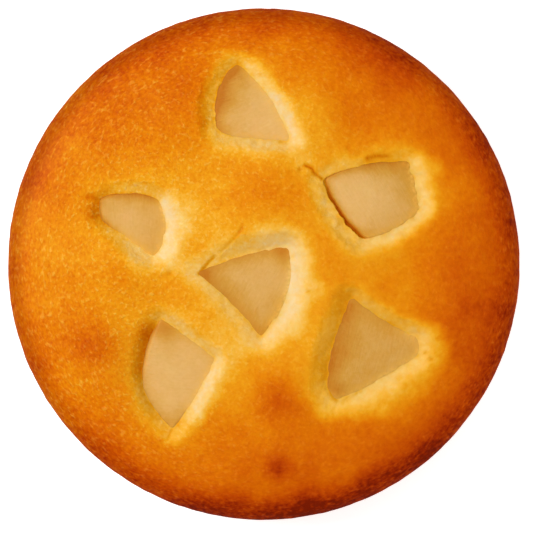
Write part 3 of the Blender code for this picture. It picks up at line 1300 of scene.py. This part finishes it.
@dataclass(frozen=True)
class PearPiece:
    """The visible chunk of pear in a pocket."""

    pocket: Pocket
    rows: int = 46
    side_rows: int = 6
    crowding: float = 1.6  # of the rows towards the edge
    clearance: float = 0.3 * MM  # between its base and the pocket's floor
    wave_height: float = 0.08 * MM
    wave_size: float = 7 * MM
    wave_seeds: int = 50
    soak_and_shade_power: float = 1.3
    film_power: float = 1.5
    # how far in the painted shade at the pear's edge reaches
    edge_shade_reach: float = 0.7 * MM
    film_bake: float = 0.12
    film_shaded: float = 0.25
    film_foot: float = 0.5

    def build(self, finish: bpy.types.Material) -> bpy.types.Object:
        """Makes the chunk: rings from its middle to its edge, a rounded edge, straight sides and a flat base.

        The top is the plane of its edge with crown * (1 - share ** 2) in the middle and faint waves. Near the
        edge it falls by rounding * (1 - sqrt(1 - (1 - inset / rounding) ** 2)).

        Args:
            finish: The pears' material.

        Returns:
            The piece.
        """
        pocket, chunk = self.pocket, self.pocket.chunk
        edge, middle = pocket.edge, pocket.middle
        share = 1 - (1 - np.linspace(0, 1, self.rows + 1)[1:]) ** self.crowding
        flat = (middle + share[:, None, None] * (edge - middle)).reshape(-1, 2)
        inset = nearest_on(flat, edge, np.roll(edge, -1, axis=0))[0]
        rounding = pocket.walls(flat)["rounding"] * MM
        fallen = rounding * (1 - np.sqrt(1 - np.clip(1 - inset / rounding, 0, 1) ** 2))
        crown = chunk.crown * MM * (1 - np.repeat(share, len(edge)) ** 2)
        waves = Pattern(self.wave_height, self.wave_size, chunk.seed + self.wave_seeds).at(flat_points(flat))
        top = np.column_stack([flat, pocket.chunk_top(flat) + crown + waves - fallen])

        rim = top[-len(edge):, 2]
        down = np.linspace(0, 1, self.side_rows + 1)[1:]
        heights = rim + down[:, None] * (pocket.floor + self.clearance - rim)
        side = np.column_stack([np.tile(edge, (self.side_rows, 1)), heights.ravel()])
        centre = np.array([[*middle, pocket.chunk_top(middle[None])[0] + chunk.crown * MM]])
        points = np.vstack([top, side, centre])
        rings = np.arange(len(points) - 1).reshape(-1, len(edge))
        fan = np.column_stack([np.full(len(edge), len(points) - 1), rings[0], np.roll(rings[0], -1)])
        faces = [grid_faces(rings, closed=True), fan, rings[-1][None, ::-1]]

        depth = np.concatenate([inset, np.zeros(len(side)), inset.max(keepdims=True)])
        piece = make_piece(chunk.name + "_flesh", points, faces, finish, self.marks(points[:, :2], depth))
        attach(piece, "root")
        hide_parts(chunk.name)
        log.info("%s: %d points", piece.name, len(points))
        return piece

    def marks(self, xy: Array, inset: Array) -> dict[str, Array]:
        """What the material reads: how deep the colour is, and the places along and across the fibres.

        Args:
            xy: The points.
            inset: How far in from the chunk's edge they are.

        Returns:
            The marks soak, film, crumb, dim, along and across.
        """
        chunk = self.pocket.chunk
        wall = self.pocket.walls(xy)
        # soak deepens the colour near the edge: partly soaked juice and partly painted shade, most beside
        # walls away from the light
        soak_and_shade = chunk.tone + wall["soak_and_shade"] * np.exp(-((inset / (wall["soak_and_shade_reach"] * MM)) ** self.soak_and_shade_power))
        soak_and_shade += sum(spot.at(xy) for spot in chunk.spots)
        covered = np.maximum(inset - self.pocket.LAP, 0) / MM
        turn = math.radians(chunk.fibres)
        offset = xy - self.pocket.middle
        return {
            "soak_and_shade": soak_and_shade,
            "film": wall["film"] * np.exp(-((covered / wall["film_reach"]) ** self.film_power)),
            "crumb": self.film_bake + self.film_shaded * (1 - wall["pale"]) + self.film_foot * wall["foot"],
            # painted shade along the pear's edge under the wall
            "dim": wall["dark"] * np.exp(-covered / (self.edge_shade_reach / MM)),
            "along": offset @ np.array([math.cos(turn), math.sin(turn)]),
            "across": offset @ np.array([-math.sin(turn), math.cos(turn)]),
        }


# ---------------------------------------------------------------- the studio


@dataclass(frozen=True)
class Light:
    """A round soft light that faces the cake, in metres and degrees.

    azimuth is anticlockwise from +X, and shine is whether glossy surfaces mirror it.
    """

    name: str
    azimuth: float
    elevation: float
    distance: float
    size: float
    power: float
    shine: bool = False

    def build(self) -> bpy.types.Object:
        """Makes the light."""
        azimuth, elevation = math.radians(self.azimuth), math.radians(self.elevation)
        level = math.cos(elevation)
        way = (math.cos(azimuth) * level, math.sin(azimuth) * level, math.sin(elevation))
        data = bpy.data.lights.new(self.name, "AREA")
        data.shape = "DISK"
        data.size = self.size
        data.energy = self.power
        light = bpy.data.objects.new(self.name, data)
        light.location = [self.distance * part for part in way]
        light.rotation_euler = (-light.location).to_track_quat("-Z", "Y").to_euler()
        light.visible_camera = False
        light.visible_glossy = self.shine
        bpy.context.scene.collection.objects.link(light)
        return light


LIGHTS = (
    Light("key", azimuth=160, elevation=48, distance=1.2, size=0.6, power=9.7, shine=True),
    Light("fill", azimuth=0, elevation=90, distance=1.6, size=2.0, power=9.8),
    Light("card_right", azimuth=-40, elevation=38, distance=1.5, size=1.2, power=5.5),
    Light("card_back", azimuth=60, elevation=40, distance=1.5, size=1.2, power=3.4),
)


@dataclass(frozen=True)
class Studio:
    """A pale floor, soft lights and a camera that looks straight down."""

    camera_height: float = 1.2  # above the cake's widest level
    sensor: float = 36.0  # in millimetres
    backdrop: float = 1.0
    floor_half: float = 6.0
    floor_tone: float = 0.9
    floor_glow: float = 0.65

    def build(self, dome: Dome) -> None:
        """Makes the camera, the lights, the backdrop, which lights nothing, and the floor.

        Args:
            dome: The cake's form, which the camera is set by.
        """
        self.add_camera(dome)
        for light in LIGHTS:
            light.build()
        world = bpy.data.worlds.new("backdrop")
        world.use_nodes = True
        background = world.node_tree.nodes["Background"]
        background.inputs["Color"].default_value = (1.0, 1.0, 1.0, 1.0)
        background.inputs["Strength"].default_value = self.backdrop
        for rays in ("diffuse", "glossy", "transmission", "scatter"):
            setattr(world.cycles_visibility, rays, False)
        bpy.context.scene.world = world
        self.add_floor()
        bpy.context.scene.view_settings.view_transform = "Standard"

    def add_camera(self, dome: Dome) -> None:
        """A camera over the cake, moved aside so that the cake lies in the frame as photographed."""
        metres = dome.radius / CAKE_RADIUS_PX
        aside = [(PHOTO_SIDE_PX / 2 - place) * metres for place in CAKE_MIDDLE_PX]
        data = bpy.data.cameras.new("camera")
        data.sensor_width = self.sensor
        data.lens = data.sensor_width * self.camera_height / (PHOTO_SIDE_PX * metres)
        camera = bpy.data.objects.new("camera", data)
        camera.location = (aside[0], -aside[1], dome.widest + self.camera_height)
        bpy.context.scene.collection.objects.link(camera)
        bpy.context.scene.camera = camera

    def add_floor(self) -> None:
        """A plain pale floor that glows a little, as a light table does."""
        board = Board("pale_floor")
        material = board.finish(
            Base_Color=(self.floor_tone, self.floor_tone, self.floor_tone, 1.0),
            Roughness=0.9,
            Emission_Color=(1.0, 1.0, 1.0, 1.0),
            Emission_Strength=self.floor_glow,
        )
        signs = np.array([(-1, -1, 0), (1, -1, 0), (1, 1, 0), (-1, 1, 0)])
        points = self.floor_half * signs
        floor = make_piece("floor", points, [np.array([[0, 1, 2, 3]])], material, {})
        floor.visible_glossy = False


# ---------------------------------------------------------------- this cake

CHUNKS = (
    Chunk(
        "pear_top",
        corners=((-10.6, 77.8, 3.6), (-18.6, 53.8, 0.8), (-14, 50.2, 0.5), (9.8, 48, 3)),
        sunk=4.6,
        slope=(0.02, -0.02),
        walls=(
            Wall(28, reach=5.6, pale=1, halo=4.2, foot=0.14, foot_reach=1.2, soak_and_shade=0.1, soak_and_shade_reach=3,
                 dark=0.03),
            Wall(75, reach=5, pale=0.7, halo=3.4, foot=0.1, soak_and_shade=0.2, soak_and_shade_reach=5, film=0.4),
            Wall(120, reach=5.5, bow=1.7, gap=0.45, pale=0.34, halo=3.8, foot=0.14, soak_and_shade=0.85, soak_and_shade_reach=8,
                 film=0, dark=0.05),
            Wall(160, reach=7.5, bow=1.2, lip=0.35, lumps=0.2, gap=0.42, pale=0.42, halo=3.2, foot=0.14,
                 soak_and_shade=1.1, soak_and_shade_reach=6, film=0),
            Wall(205, reach=7, bow=1.3, lip=0.3, lumps=0.2, gap=0.5, pale=0.45, halo=3.4, foot=0.12,
                 soak_and_shade=0.75, soak_and_shade_reach=4.5, film=0),
            Wall(262, reach=5.5, lip=0.15, lumps=0.25, gap=0.35, pale=0.62, halo=3.6, foot=0.1, soak_and_shade=0.15,
                 film=0.3, dark=0.08),
        ),
        ragged=0.45,
        fibres=20,
        tone=0.15,
        spots=spots((-11.5, 75.5, 3, 0.35), (-13, 64, 9, 0.16), (-8, 54, 7, 0.1)),
        seed=1,
    ),
    Chunk(
        "pear_right",
        corners=((24, 33, 2), (40, 10, 1.4), (60.5, 21, 0.4), (56, 39.5, 2)),
        opening=((21.9, 33.2, 1.9), (38.8, 8.9, 1.4), (60.5, 21, 0.4), (56, 39.5, 2)),
        sunk=4.3,
        slope=(-0.05, 0.02),
        walls=(
            Wall(15, reach=7, lumps=0.25, pale=0.78, halo=5.6, foot=0.09, foot_reach=1.6, soak_and_shade=0.6,
                 soak_and_shade_reach=7, film=0.65, film_reach=2, dark=0.06),
            Wall(85, reach=6.5, bow=1.7, fillet=1.2, pale=0.25, halo=4.2, foot=0.08, foot_reach=2.5, soak_and_shade=0.8,
                 soak_and_shade_reach=5, film=0, dark=0.06),
            Wall(147, reach=6.5, bow=1.5, pale=0.42, halo=2.7, foot=0.04, foot_reach=1.5, soak_and_shade=0.65, film=0),
            Wall(188, reach=7.2, bow=1.2, fillet=0.8, lip=0.4, lumps=0.3, ledge=1.1, gap=0.72, pale=0.5,
                 halo=3.5, foot=0.14, foot_reach=1.4, rounding=1.2, soak_and_shade=0.9, soak_and_shade_reach=1.3, film=0),
            Wall(212, reach=7.2, bow=1.2, fillet=0.8, lip=0.6, lumps=0.4, ledge=1.1, gap=0.68, pale=0.54,
                 halo=4, foot=0.08, foot_reach=1.4, rounding=1.3, soak_and_shade=0.9, soak_and_shade_reach=1.3, film=0),
            Wall(300, reach=7, lumps=0.25, pale=0.68, halo=3.9, foot=0.05, soak_and_shade=0.35, soak_and_shade_reach=6, film=0.4,
                 dark=0.1),
        ),
        crown=1.4,
        ragged=0.6,
        fibres=120,
        tone=0.17,
        spots=spots((54, 37, 6, 0.12)),
        seed=2,
    ),
    Chunk(
        "pear_left",
        corners=((-63.6, 25.4, 0.4), (-62.5, 17, 0), (-43, 3, 4.3), (-42, 25.8, 2)),
        sunk=4.5,
        slope=(-0.06, 0),
        walls=(
            Wall(350, reach=6.5, pale=1, halo=6, foot=0.13, foot_reach=1, soak_and_shade=0.12, soak_and_shade_reach=4),
            Wall(90, reach=5.5, lip=0.2, pale=0.27, halo=3.6, foot=0.12, gap=0.34, soak_and_shade=0.7, soak_and_shade_reach=3,
                 film=0),
            Wall(172, reach=7.5, bow=2.2, fillet=0.5, lip=-1.6, gap=0.46, pale=0.05, halo=2, foot=0,
                 rounding=2.4, soak_and_shade=0.5, soak_and_shade_reach=1.2, film=0, dark=0.08),
            Wall(215, pale=0.36, halo=3.6, foot=0.05, soak_and_shade=0.3, soak_and_shade_reach=3, film=0.2, dark=0.09),
            Wall(255, reach=6.5, pale=0.55, halo=4.8, foot=0.04, soak_and_shade=0.2, soak_and_shade_reach=3, film=0.4),
        ),
        ragged=0.25,
        fibres=90,
        tone=0.4,
        spots=spots((-54, 14, 7, -0.15), (-62, 23, 5, 0.1)),
        seed=3,
    ),
    Chunk(
        "pear_centre",
        corners=((-25.6, -3.6, -1.2), (-1.2, -28, 4.7), (9.6, 6.6, 1.6)),
        sunk=4.7,
        slope=(-0.04, 0.02),
        walls=(
            Wall(10, reach=7, fillet=1.8, lumps=0.25, pale=1, halo=6.5, foot=0, soak_and_shade=0.1, soak_and_shade_reach=5,
                 film=0.65, film_reach=2),
            Wall(312, reach=7, fillet=1.8, lumps=0.25, pale=1, halo=5.6, foot=0.19, foot_reach=1.6, soak_and_shade=0.35,
                 soak_and_shade_reach=6, film=0.65, film_reach=2, dark=0.07),
            Wall(56, reach=7, fillet=1.8, pale=0.75, halo=5, foot=0.05, soak_and_shade=0.5, soak_and_shade_reach=4, film=0),
            Wall(107, reach=7.5, bow=1.2, pale=0.42, halo=5.2, foot=0.08, foot_reach=2, gap=0.36, soak_and_shade=0.5,
                 soak_and_shade_reach=4, film=0),
            Wall(215, reach=6.5, pale=0.48, halo=4.4, foot=0.08, soak_and_shade=0.55, soak_and_shade_reach=7, film=0.1,
                 dark=0.08),
            Wall(262, reach=6.5, pale=0.55, halo=5.6, foot=0.13, foot_reach=1.5, soak_and_shade=0.5, soak_and_shade_reach=5,
                 film=0.1, dark=0.05),
        ),
        ragged=0.35,
        fibres=60,
        tone=0.3,
        spots=spots((-24, -4, 3.5, 0.35), (7.5, 4, 4, 0.35), (-1.5, -26.5, 3.5, 0.18)),
        seed=4,
    ),
    Chunk(
        "pear_lower_left",
        corners=((-39.7, -21.3, 2.6), (-46.8, -47.5, 1), (-35.6, -64, 1.2), (-19, -36.3, 0)),
        sunk=4.6,
        slope=(0.02, 0.03),
        walls=(
            Wall(325, reach=4.6, fillet=0.9, lumps=0.15, pale=0.94, halo=4.6, foot=0.12, foot_reach=1,
                 soak_and_shade=0.1, soak_and_shade_reach=3),
            Wall(60, reach=5, lip=0.15, pale=0.52, halo=2.7, foot=0.08, gap=0.3, soak_and_shade=0.25, soak_and_shade_reach=4,
                 film=0.2, dark=0.05),
            Wall(158, reach=8, bow=2.3, fillet=0.5, lip=-1.5, gap=0.5, pale=0, halo=2.5, foot=0.14,
                 foot_reach=3.5, rounding=2.6, soak_and_shade=0.5, soak_and_shade_reach=1.5, film=0, dark=0.06),
            Wall(212, reach=6, bow=1.8, fillet=0.6, lip=-0.4, pale=0.42, halo=3.2, foot=0.1, foot_reach=2.6,
                 gap=0.35, rounding=1.2, soak_and_shade=0.35, soak_and_shade_reach=4, film=0, dark=0.16),
            Wall(248, reach=6, bow=1.6, lip=-0.2, pale=0.46, halo=4, foot=0.08, foot_reach=2, gap=0.35,
                 rounding=1, soak_and_shade=0.35, soak_and_shade_reach=4, film=0, dark=0.06),
        ),
        ragged=0.35,
        fibres=175,
        tone=0.18,
        spots=spots((-38, -25, 5, 0.5), (-36, -61, 4, 0.15), (-39, -32, 8, 0.12)),
        seed=5,
    ),
    Chunk(
        "pear_lower_right",
        corners=(
            (34.3, -13, 2),
            (24.8, -46.2, 0.6),
            (28.2, -52.8, 0.8),
            (58.2, -36.3, 0.8),
            (60.2, -31.8, 0.3),
            (58.6, -28.4, -0.8),
        ),
        sunk=4.4,
        slope=(-0.05, 0),
        walls=(
            Wall(0, reach=6, lumps=0.25, pale=0.68, halo=6, foot=0.05, foot_reach=1.2, soak_and_shade=0, dark=0.04),
            Wall(60, reach=5, lip=0.2, pale=0.41, halo=3.4, foot=0.08, gap=0.35, soak_and_shade=0.2, soak_and_shade_reach=4,
                 film=0.1, dark=0.08),
            Wall(148, reach=8, fillet=1.8, pale=0.08, halo=4, foot=0.08, foot_reach=2, gap=0.5, soak_and_shade=0.4,
                 soak_and_shade_reach=8, film=0, dark=0.08),
            Wall(195, reach=8, fillet=1.8, pale=0.09, halo=5, foot=0.1, foot_reach=2, gap=0.5, soak_and_shade=0.55,
                 soak_and_shade_reach=8, film=0, dark=0.07),
            Wall(255, reach=7, fillet=1.8, lumps=0.25, pale=0.66, halo=5.6, foot=0.05, soak_and_shade=0.1, film=0.4,
                 dark=0.08),
            Wall(315, reach=7, fillet=1.8, lumps=0.25, pale=0.73, halo=7, foot=0.03, soak_and_shade=0, dark=0.1),
        ),
        ragged=0.4,
        fibres=75,
        tone=0.5,
        spots=spots((33, -18, 5, 0.12), (29, -49, 4, 0.3)),
        seed=6,
    ),
)

PATCHES = spots(
    (-38, 62, 18, 0.105), (-22, 88, 18, 0.09), (-2, 86, 10, 0.05), (3, 74, 8, -0.08),
    (15, 61, 8, -0.11), (-41, 41, 9, 0.06), (-63, 56, 12, 0.06), (0, 29, 12, 0.11),
    (12, 27, 7, 0.06), (26, 7, 9, 0.1), (15, -9, 8, -0.07), (47, 75, 14, 0.08),
    (71, 27, 9, -0.13), (76, -20, 14, 0.07), (-88, 6, 16, -0.05), (-2, 14, 6, -0.08),
    (16, 39, 6, -0.11), (0, 44, 6, -0.07), (40, -10, 10, 0.05), (62, -62, 10, 0.05),
    (-16, 38, 7, 0.05), (5.5, -78.4, 5, 0.22), (6, -52, 8, 0.24), (0, -76, 18, 0.06),
    (-65.5, -31.4, 9, 0.19), (-55, -3, 5, 0.09), (-28, 14, 12, -0.07), (-14, 12, 10, -0.07),
    (-12, -28, 7, -0.07), (58, -53, 11, -0.08), (28, -8, 10, 0.08), (-78, -52, 14, -0.05),
    (-29, -73, 10, -0.06), (-66, 20, 3.5, 0.14), (-45.5, -27, 4, 0.12), (-79, 33, 9, 0.05),
    (80, 3, 9, 0.03), (-13, -68, 8, 0.03),
)

# Darker places beside the shaded left sides of the left and lower-left chunks: painted shade
SHADE_SPOTS = spots(
    (-53, -34, 11, 0.08), (-45.5, -27, 4, 0.05), (-46.5, -54, 6, 0.1), (-54, -44, 5, 0.06),
    (-66.5, 20, 3.5, 0.1),
)

PITS = spots(
    (6.3, 47.4, 0.9, 0.6), (14.1, 36.6, 0.9, 0.7), (32.7, 45.1, 0.8, 0.5), (-36.4, -3.5, 0.9, 0.7),
    (17.2, -10.8, 0.8, 0.7), (64.6, -36.8, 0.9, 0.8), (62.6, -34.5, 0.7, 0.7), (16.8, 6.7, 0.8, 0.5),
)

CREASES = (
    Crease(((-25.1, -3.8), (-21.6, 0.6), (-19.2, 2.8)), width=0.6, depth=0.45, ridge=0.2, bake=0.28),
    Crease(
        ((-16.8, 4.8), (-14, 7.4), (-11.2, 10.3), (-8.4, 14)), width=0.7, depth=0.25, ridge=0.15, bake=0.12
    ),
    Crease(((16, 38.2), (18.6, 37.1), (19.6, 35.2), (22.4, 33)), width=0.6, depth=0.6, bake=0.26),
    Crease(((40, 41), (42.5, 41.8), (48, 42)), width=0.8, depth=0.4, bake=0.2),
    Crease(((29.8, -53.6), (33, -51.8), (36, -50.2)), width=0.6, depth=0.4, bake=0.1),
    Crease(((25.4, -48), (26.2, -51), (28.4, -53.2)), width=0.7, depth=0.7, bake=0.15),
    Crease(((-35.8, -64.5), (-37, -67.5)), width=0.5, depth=0.4),
    Crease(((-68.5, 26.2), (-66.4, 26.1), (-64.2, 25)), width=1.3, depth=0.5, bake=0.1),
)


def main() -> None:
    """Builds the cake, its chunks and the studio."""
    logging.basicConfig(level=logging.INFO, format="%(message)s")
    low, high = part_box("cake")
    dome = Dome(radius=(high.x - low.x) / 2)
    pockets = tuple(Pocket(chunk, dome) for chunk in CHUNKS)
    Cake(dome, Baking(), pockets, PATCHES, PITS, CREASES, SHADE_SPOTS).build(CrustFinish())
    flesh = PearFinish().material()
    for pocket in pockets:
        PearPiece(pocket).build(flesh)
    Studio().build(dome)


if __name__ == "__main__":
    main()
